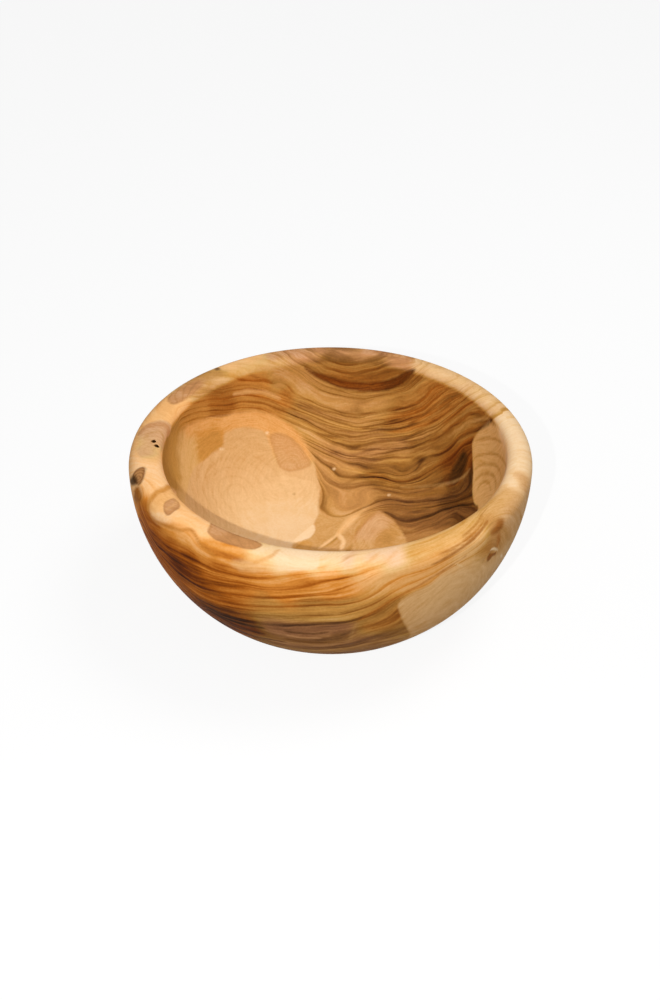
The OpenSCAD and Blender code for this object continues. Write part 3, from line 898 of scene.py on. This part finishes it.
def lay_flat(middle, directions, radius):
    """Directions laid flat around a middle one, in millimetres, keeping their distances from it."""
    east = np.cross((0, 0, 1), middle)
    east /= np.linalg.norm(east)
    north = np.cross(middle, east)
    angle = np.arccos(np.clip(directions @ middle, -1, 1))
    stretch = radius * angle / np.maximum(np.sin(angle), TINY)
    return np.stack([directions @ east * stretch, directions @ north * stretch], axis=1)


def cut_corners(outline, closed):
    """A rounder outline, with each of its corners cut off, and those of the cuts again."""
    for _ in range(CORNER_CUTS):
        step = CORNER_SHARE * (np.roll(outline, -1, axis=0) - outline)
        ends = np.stack([outline + step, np.roll(outline, -1, axis=0) - step], axis=1)
        if closed:
            outline = ends.reshape(-1, 2)
        else:
            outline = np.concatenate([outline[:1], ends[:-1].reshape(-1, 2), outline[-1:]])
    return outline


def edge_gaps(starts, ends, points):
    """Distance of each point from each edge, and how far along the edge the nearest place is."""
    edges = ends - starts
    offsets = points[:, None, :] - starts
    along = np.clip((offsets * edges).sum(axis=2) / (edges ** 2).sum(axis=1), 0, 1)
    return np.linalg.norm(offsets - along[:, :, None] * edges, axis=2), along


def outline_depth(outline, points):
    """Distance of points from a closed outline, counted positive inside it."""
    ends = np.roll(outline, -1, axis=0)
    gaps, _ = edge_gaps(outline, ends, points)
    rise = ends[:, 1] - outline[:, 1]
    rise = np.where(rise == 0, TINY, rise)
    height = points[:, 1:2]
    crossing = outline[:, 0] + (ends[:, 0] - outline[:, 0]) * (height - outline[:, 1]) / rise
    crosses = ((outline[:, 1] > height) != (ends[:, 1] > height)) & (points[:, :1] < crossing)
    inside = crosses.sum(axis=1) % 2 == 1
    return np.where(inside, 1, -1) * gaps.min(axis=1)


def stroke_depth(stroke, half_width, points):
    """How deep points lie in a stroke, which tapers to both its ends."""
    gaps, along = edge_gaps(stroke[:-1], stroke[1:], points)
    nearest = gaps.argmin(axis=1)
    rows = np.arange(len(points))
    share = (nearest + along[rows, nearest]) / (len(stroke) - 1)
    taper = (4 * share * (1 - share)) ** TAPER
    return half_width * taper - gaps[rows, nearest]


def circle(middle, halves, count):
    """Corners of an ellipse, or of a circle if its halves are the same."""
    turns = np.linspace(0, 2 * math.pi, count, endpoint=False)
    return np.stack([middle[0] + halves[0] * np.cos(turns), middle[1] + halves[1] * np.sin(turns)], axis=1)


def shape_line(shape, photo, turning):
    """Directions along a shape's outline or stroke."""
    if "ellipse" in shape:
        return photo.directions_at(circle(*shape["ellipse"], ELLIPSE_CORNERS))
    if "stroke" in shape:
        return photo.directions_at(shape["stroke"])
    found = photo.directions_at(shape["outline"])
    found += [turning.inside(*place) for place in pairs(shape.get("inside", []))]
    found += [turning.outside(*place) for place in pairs(shape.get("outside", []))]
    return found + photo.directions_at(shape.get("outline_after", []))


def layer_fields(shapes, photo, turning, targets):
    """A layer's depth, ring phase and edge darkness, and its tone, warmth, ring strength and cover."""
    radius = turning.length / math.pi
    depth = np.full(len(targets), -DEPTH_LIMIT)
    body = np.zeros((len(targets), 2))
    look = np.zeros((len(targets), 4))
    for shape in shapes:
        outline = np.array(shape_line(shape, photo, turning))
        middle = outline.mean(axis=0)
        middle /= np.linalg.norm(middle)
        flat = lay_flat(middle, outline, radius)
        reach = np.linalg.norm(flat, axis=1).max() + SHAPE_REACH
        near = np.flatnonzero(targets @ middle > math.cos(min(reach / radius, math.pi)))
        places = lay_flat(middle, targets[near], radius)
        if "stroke" in shape:
            own = stroke_depth(cut_corners(flat, closed=False), shape["half_width"], places)
        else:
            own = outline_depth(cut_corners(flat, closed=True), places)
        centres, values = gather(shape["looks"], photo.directions_at)
        numbers = spread(np.array(centres), np.array(values), targets[near])
        softness, edge = numbers[:, 4:].T
        own = np.clip(own / softness, -DEPTH_LIMIT, DEPTH_LIMIT)
        wins = own > depth[near]
        chosen = near[wins]
        depth[chosen] = own[wins]
        if "rings_about" in shape:
            about = lay_flat(middle, photo.direction(shape["rings_about"])[None], radius)
            body[chosen, 0] = np.linalg.norm(places[wins] - about, axis=1) / shape["ring_gap"]
        body[chosen, 1] = edge[wins]
        look[chosen] = numbers[wins, :4]
    return np.column_stack([depth, body]), look


def add_attribute(mesh, name, values):
    """Keep three or four numbers at each point of a mesh."""
    kind, field = {3: ("FLOAT_VECTOR", "vector"), 4: ("FLOAT_COLOR", "color")}[values.shape[1]]
    attribute = mesh.attributes.new(name, kind, "POINT")
    attribute.data.foreach_set(field, np.ascontiguousarray(values, dtype=np.float32).ravel())


# Values between which most of a noise lies
NOISE_LOW = 0.3
NOISE_HIGH = 0.7
# Noises of the wood: cycles per metre, cycles per ring across the rings (0 for an even noise), octaves, and
# how far it swings to both sides of 0
SWINGS = {
    "wander": (60.0, 0, 2.0, 0.2),
    "own_wander": (70.0, 0.6, 2.0, 0.15),
    "broad": (40.0, 1.5, 2.0, 0.085),
    "fine": (40.0, 4.0, 2.0, 0.075),
    "cloud": (110.0, 0, 3.0, 0.03),
    "fibre": (200.0, 9.0, 3.0, 0.5),
    "drift": (40.0, 1.4, 2.0, 0.35),
    "pores": (1400.0, 0, 2.0, 0.022),
    "ragged": (300.0, 0, 3.0, 0.3),
    "shape_wander": (90.0, 0, 3.0, 0.3),
}
# Noises that are used as they are: cycles per metre, cycles per ring, octaves
PATCHY = (50.0, 37.0, 2.0)
THIN = (35.0, 1.0, 1.0)
BUSY = (35.0, 0, 1.0)
# What the values of a noise become: low, high, what the low and the high value become
PATCHY_RANGE = (0.35, 0.65, 0.2, 1.15)
BUSY_RANGE = (0.35, 0.65, 0.5, 1.35)
FIBRE_RANGE = (0.0, 1.0, 0.05, 0.14)
ROUGHNESS_RANGE = (-0.5, 0.5, 0.52, 0.68)
# Ring levels just short of a vein's middle and just past it, the shares of its width that the vein has
# there, and how much tone and warmth it adds
VEIN_SIDES_RANGE = (-0.02, 0.02, 1.1, 0.35)
VEIN_TONE = 0.3
VEIN_WARMTH = 0.4
# The middle of the noise that the thin lines lie along, their width in it and their darkness
THIN_MIDDLE = 0.5
THIN_WIDTH = 0.035
THIN_TONE = 0.14
# Rings between the lines' noise and the one of the warmth, so that the two differ
DRIFT_SHIFT = 40.0
# Width and darkness of a shape's faint rings, as shares of their gap and strength, and width of its edge
FAINT_WIDTH_SHARE = 0.15
FAINT_TONE_SHARE = 0.12
BORDER_WIDTH = 1.4
# Shine and bumps of the wood
SPECULAR_LEVEL = 0.02
BUMP_STRENGTH = 0.25
BUMP_DEPTH = 0.1


class Graph:
    """Short calls that add nodes to a material and join them."""

    def __init__(self, tree):
        self.tree = tree

    def put(self, socket, value):
        if isinstance(value, bpy.types.NodeSocket):
            self.tree.links.new(value, socket)
        else:
            socket.default_value = value

    def add(self, kind, sockets, **settings):
        node = self.tree.nodes.new(kind)
        for name, value in settings.items():
            setattr(node, name, value)
        for name, value in sockets.items():
            self.put(node.inputs[name], value)
        return node

    def calc(self, operation, first, *others):
        """The values worked together, the first with each of the others in turn."""
        for other in others:
            first = self.add("ShaderNodeMath", {0: first, 1: other}, operation=operation).outputs[0]
        return first

    def plus(self, *values):
        return self.calc("ADD", *values)

    def times(self, *values):
        return self.calc("MULTIPLY", *values)

    def scaled(self, value, low, high, start, end, kind="LINEAR"):
        sockets = {"Value": value, "From Min": low, "From Max": high, "To Min": start, "To Max": end}
        return self.add("ShaderNodeMapRange", sockets, interpolation_type=kind).outputs["Result"]

    def tint(self, share, first, second):
        sockets = {0: share, 6: first, 7: second}
        return self.add("ShaderNodeMix", sockets, data_type="RGBA").outputs[2]

    def bell(self, value, width):
        """1 where the value is 0, falling off to both sides over the width."""
        share = self.calc("DIVIDE", value, width)
        power = self.times(share, share, -1.0)
        return self.add("ShaderNodeMath", {0: power}, operation="EXPONENT").outputs[0]

    def off_round(self, value):
        """The nearest whole number, and how far the value is past it."""
        nearest = self.add("ShaderNodeMath", {0: value}, operation="ROUND").outputs[0]
        return nearest, self.calc("SUBTRACT", value, nearest)

    def grain(self, place, level, along, across, detail):
        """Noise, even or in streaks that follow the rings."""
        sockets = {"Vector": place, "Scale": along, "Detail": detail}
        kind = "3D"
        if across:
            sockets["W"] = self.times(level, across / along)
            kind = "4D"
        return self.add("ShaderNodeTexNoise", sockets, noise_dimensions=kind).outputs["Fac"]

    def swing(self, name, place, level=None):
        *kind, reach = SWINGS[name]
        return self.scaled(self.grain(place, level, *kind), NOISE_LOW, NOISE_HIGH, -reach, reach)

    def parts(self, name):
        """The numbers of a mesh attribute: three, and a fourth that only some attributes have."""
        attribute = self.add("ShaderNodeAttribute", {}, attribute_name=name)
        split = self.add("ShaderNodeSeparateXYZ", {"Vector": attribute.outputs["Vector"]})
        return (*split.outputs, attribute.outputs["Alpha"])

    def seen(self):
        """1 for rays that show a background: from the camera, mirrored or let through."""
        path = self.add("ShaderNodeLightPath", {}).outputs
        kinds = ("Is Camera Ray", "Is Glossy Ray", "Is Transmission Ray")
        return self.calc("MAXIMUM", *[path[kind] for kind in kinds])

    def ramp(self, value, colours):
        """Colours in even steps from 0 to 1."""
        node = self.add("ShaderNodeValToRGB", {"Fac": value})
        elements = node.color_ramp.elements
        places = np.linspace(0, 1, len(colours))
        for place in places[len(elements):]:
            elements.new(place)
        for element, place, colour in zip(elements, places, colours):
            element.position = place
            element.color = linear(colour)
        return node.outputs["Color"]


def linear(colour):
    """A colour in screen values from 0 to 255, as the shader's light values."""
    shares = [value / 255 for value in colour]
    light = [share / 12.92 if share <= 0.04045 else ((share + 0.055) / 1.055) ** 2.4 for share in shares]
    return (*light, 1.0)


# The wood's colours in even steps from pale to dark, in screen values: on its grey, gold and orange sides
GREY_WOOD = [(242, 214, 184), (229, 184, 144), (199, 140, 91), (147, 98, 61), (90, 58, 38), (34, 22, 15)]
GOLD_WOOD = [(247, 217, 174), (234, 191, 131), (202, 150, 76), (155, 105, 45), (100, 61, 25), (38, 23, 10)]
ORANGE_WOOD = [(255, 222, 182), (248, 187, 120), (221, 141, 57), (173, 93, 23), (110, 51, 13), (40, 19, 8)]


def wood_colour(graph, tone, warmth):
    """The wood's colour at a tone, with a warmth from grey over gold to orange."""
    grey, gold, orange = [graph.ramp(tone, colours) for colours in (GREY_WOOD, GOLD_WOOD, ORANGE_WOOD)]
    cool = graph.tint(graph.plus(warmth, 1.0), grey, gold)
    return graph.tint(warmth, cool, orange)


def lay_over(graph, place, name, colour, texture):
    """The colour with a layer of shapes laid over it, which have the wood's texture too."""
    depth, phase, edge, _ = graph.parts(name)
    tone, warmth, strength, most = graph.parts(name + "_look")
    depth = graph.plus(depth, graph.swing("ragged", place))
    cover = graph.times(graph.scaled(depth, -1.0, 1.0, 0.0, 1.0, "SMOOTHSTEP"), most)
    _, past = graph.off_round(graph.plus(phase, graph.swing("shape_wander", place)))
    rings = graph.times(graph.bell(past, FAINT_WIDTH_SHARE), strength, FAINT_TONE_SHARE)
    border = graph.times(graph.bell(depth, BORDER_WIDTH), edge)
    tone = graph.plus(tone, rings, border, texture)
    return graph.tint(cover, colour, wood_colour(graph, tone, warmth))


def olive_wood():
    material = bpy.data.materials.new("olive_wood")
    material.use_nodes = True
    graph = Graph(material.node_tree)
    shader = material.node_tree.nodes["Principled BSDF"]
    place = graph.add("ShaderNodeTexCoord", {}).outputs["Object"]
    traced, darkness, width, wave = graph.parts("rings")
    tone, warmth, streaks, _ = graph.parts("look")

    # Rings that wander, together and each on its own; each vein is soft on its inner side and sharp on its
    # outer one
    wander = graph.plus(graph.swing("wander", place), graph.swing("own_wander", place, traced))
    level = graph.plus(traced, graph.times(wander, wave))
    nearest, past = graph.off_round(level)
    vein = graph.bell(past, graph.times(width, graph.scaled(past, *VEIN_SIDES_RANGE)))
    patchy = graph.scaled(graph.grain(place, nearest, *PATCHY), *PATCHY_RANGE)
    vein = graph.times(vein, patchy, darkness)

    # Bands between the veins, fine lines, thin dark lines and clouds, and a drift of warmth
    strand = graph.add("ShaderNodeVectorMath", {0: place, "Scale": wave}, operation="SCALE").outputs[0]
    thin = graph.calc("SUBTRACT", graph.grain(strand, level, *THIN), THIN_MIDDLE)
    figure = graph.plus(
        graph.swing("broad", strand, level),
        graph.swing("fine", strand, level),
        graph.times(graph.bell(thin, THIN_WIDTH), THIN_TONE),
        graph.swing("cloud", place),
    )
    busy = graph.scaled(graph.grain(place, None, *BUSY), *BUSY_RANGE)
    drift = graph.swing("drift", strand, graph.plus(level, DRIFT_SHIFT))
    tone = graph.plus(tone, graph.times(vein, VEIN_TONE), graph.times(figure, busy, streaks))
    warmth = graph.plus(warmth, graph.times(drift, streaks), graph.times(vein, VEIN_WARMTH))

    # Fibres and pores, which the shapes laid over the figure have too
    fibre = graph.swing("fibre", place, level)
    texture = graph.times(fibre, graph.scaled(streaks, *FIBRE_RANGE))
    texture = graph.plus(texture, graph.swing("pores", place))
    colour = wood_colour(graph, graph.plus(tone, texture), warmth)
    for name in LAYERS:
        colour = lay_over(graph, place, name, colour, texture)
    graph.put(shader.inputs["Base Color"], colour)
    graph.put(shader.inputs["Roughness"], graph.scaled(fibre, *ROUGHNESS_RANGE))
    shader.inputs["Specular IOR Level"].default_value = SPECULAR_LEVEL
    sockets = {"Height": fibre, "Strength": BUMP_STRENGTH, "Distance": BUMP_DEPTH * MM}
    graph.put(shader.inputs["Normal"], graph.add("ShaderNodeBump", sockets).outputs["Normal"])
    return material


def new_object(name, points, faces):
    mesh = bpy.data.meshes.new(name)
    mesh.from_pydata((np.array(points) * MM).tolist(), [], [list(face) for face in faces])
    mesh.update()
    piece = bpy.data.objects.new(name, mesh)
    bpy.context.scene.collection.objects.link(piece)
    return piece


def wormhole_middle(side):
    reach = MOUTH_R + WORMHOLE_INSET
    half_gap = side * WORMHOLE_GAP / 2
    return (
        HOLLOW_SHIFT - reach + half_gap * math.sin(WORMHOLE_TURN),
        -half_gap * math.cos(WORMHOLE_TURN),
    )


def wormhole_pin(middle):
    """A pin as wide as a wormhole, at its place in the rim."""
    count = WORMHOLE_SIDES
    ring = circle(middle, (WORMHOLE_R, WORMHOLE_R), count)
    heights = (DISH_H - WORMHOLE_DEPTH, DISH_H + WORMHOLE_DEPTH)
    points = [(x, y, height) for height in heights for x, y in ring]
    sides = [(i, (i + 1) % count, (i + 1) % count + count, i + count) for i in range(count)]
    ends = [tuple(range(count - 1, -1, -1)), tuple(range(count, 2 * count))]
    return new_object("wormhole_pin", points, sides + ends)


def drill(bowl, pin):
    """Cut a pin's hole into the bowl, and take the pin away."""
    cut = bowl.modifiers.new("hole", "BOOLEAN")
    cut.operation = "DIFFERENCE"
    cut.solver = "EXACT"
    cut.object = pin
    state = bpy.context.evaluated_depsgraph_get()
    mesh = bpy.data.meshes.new_from_object(bowl.evaluated_get(state))
    bowl.modifiers.clear()
    bowl.data = mesh
    bpy.data.objects.remove(pin)


# Painted shade on the wormholes' walls: near-black tone, warmth, ring strength and cover, and how far around
# them it counts
HOLE_SHADE_LOOK = (0.97, 0.0, 0.0, 1.0)
HOLE_REACH = 1.05 * WORMHOLE_R


def nearest_directions(mesh, points, directions):
    """The direction of the nearest uncut point, for each point of the drilled mesh."""
    tree = KDTree(len(points))
    for index, point in enumerate(points):
        tree.insert(Vector(point) * MM, index)
    tree.balance()
    return directions[[tree.find(vertex.co)[1] for vertex in mesh.vertices]]


def in_wormholes(mesh, middles):
    """Which points of the drilled mesh lie in a wormhole or on its edge."""
    points = np.array([vertex.co for vertex in mesh.vertices]) / MM
    gaps = np.array([np.hypot(points[:, 0] - x, points[:, 1] - y) for x, y in middles])
    return (gaps.min(axis=0) < HOLE_REACH) & (points[:, 2] > DISH_H - 2 * WORMHOLE_DEPTH)


def make_bowl():
    turning = Turning()
    directions, quads = cube_sphere(MESH_COUNT)
    points = hand_worked(turning.points(directions), quads, directions, turning)
    photo = Photo(points, quads, directions)
    bowl = new_object("olive_wood_bowl", points, quads)
    middles = [wormhole_middle(side) for side in (-1, 1)]
    for middle in middles:
        drill(bowl, wormhole_pin(middle))
    mesh = bowl.data
    mesh.polygons.foreach_set("use_smooth", [True] * len(mesh.polygons))
    mesh.set_sharp_from_angle(angle=SHARP_ANGLE)
    directions = nearest_directions(mesh, points, directions)
    holes = in_wormholes(mesh, middles)
    add_attribute(mesh, "rings", ring_fields(photo, turning, directions))
    add_attribute(mesh, "look", look_fields(photo, turning, directions))
    for name, shapes in LAYERS.items():
        body, look = layer_fields(shapes, photo, turning, directions)
        # The wormholes' walls get the painted shade over all other marks
        if name == "mark":
            body[holes, 0] = DEPTH_LIMIT
            look[holes] = HOLE_SHADE_LOOK
        add_attribute(mesh, name, body)
        add_attribute(mesh, name + "_look", look)
    mesh.materials.append(olive_wood())
    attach(bowl, "root")
    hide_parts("bowl")
    return photo


def make_camera(photo):
    """Camera at the photograph's place, with its frame shifted as the photograph's is."""
    data = bpy.data.cameras.new("camera")
    data.sensor_fit = "AUTO"
    data.sensor_width = SENSOR
    long_side = max(PHOTO_SIZE)
    data.lens = FOCAL_PIXELS * SENSOR / long_side
    data.shift_x = (PHOTO_SIZE[0] / 2 - AIM_PIXEL[0]) / long_side
    data.shift_y = (AIM_PIXEL[1] - PHOTO_SIZE[1] / 2) / long_side
    data.clip_start = MM
    camera = bpy.data.objects.new("camera", data)
    bpy.context.scene.collection.objects.link(camera)
    camera.location = photo.eye * MM
    camera.rotation_euler = photo.back.to_track_quat("Z", "Y").to_euler()
    bpy.context.scene.camera = camera


# Studio: half width of the floor, the levels of its paint and of the world's light, and the lamps with their
# place, aim and size in millimetres and their power
FLOOR_HALF = 3000.0
FLOOR_GREY = 0.42
FLOOR_WHITE = 0.97
FLOOR_GLOW = 0.88
WORLD_LEVEL = 0.28
WHITE = (1, 1, 1, 1)
LAMPS = [
    ("overhead", (230, 70, 560), (0, 0, 30), 280, 1.5),
    ("key", (-46, -398, 308), (0, 0, 40), 5, 1.45),
]


def area_light(name, place, aim, size, power):
    data = bpy.data.lights.new(name, "AREA")
    data.shape = "DISK"
    data.size = size * MM
    data.energy = power
    lamp = bpy.data.objects.new(name, data)
    bpy.context.scene.collection.objects.link(lamp)
    lamp.location = Vector(place) * MM
    lamp.rotation_euler = (Vector(place) - Vector(aim)).to_track_quat("Z", "Y").to_euler()


def floor_paint():
    """Matt pale paint that rays from the camera see as white with the dish's shadow on it."""
    paint = bpy.data.materials.new("floor_white")
    paint.use_nodes = True
    graph = Graph(paint.node_tree)
    paint.node_tree.nodes.remove(paint.node_tree.nodes["Principled BSDF"])
    output = paint.node_tree.nodes["Material Output"].inputs["Surface"]
    seen = graph.seen()
    grey = graph.scaled(seen, 0.0, 1.0, FLOOR_GREY, FLOOR_WHITE)
    matt = graph.add("ShaderNodeBsdfDiffuse", {"Color": grey})
    glow = graph.add("ShaderNodeEmission", {"Color": WHITE, "Strength": 1.0})
    sockets = {0: graph.times(seen, FLOOR_GLOW), 1: matt.outputs[0], 2: glow.outputs[0]}
    graph.put(output, graph.add("ShaderNodeMixShader", sockets).outputs[0])
    return paint


def make_studio():
    half = FLOOR_HALF
    corners = [(-half, -half, 0), (half, -half, 0), (half, half, 0), (-half, half, 0)]
    floor = new_object("floor", corners, [(0, 1, 2, 3)])
    floor.data.materials.append(floor_paint())
    for lamp in LAMPS:
        area_light(*lamp)
    world = bpy.data.worlds.new("studio")
    world.use_nodes = True
    graph = Graph(world.node_tree)
    background = world.node_tree.nodes["Background"]
    background.inputs["Color"].default_value = WHITE
    graph.put(background.inputs["Strength"], graph.scaled(graph.seen(), 0.0, 1.0, WORLD_LEVEL, 1.0))
    bpy.context.scene.world = world
    bpy.context.scene.view_settings.view_transform = "Standard"


photo = make_bowl()
make_studio()
make_camera(photo)
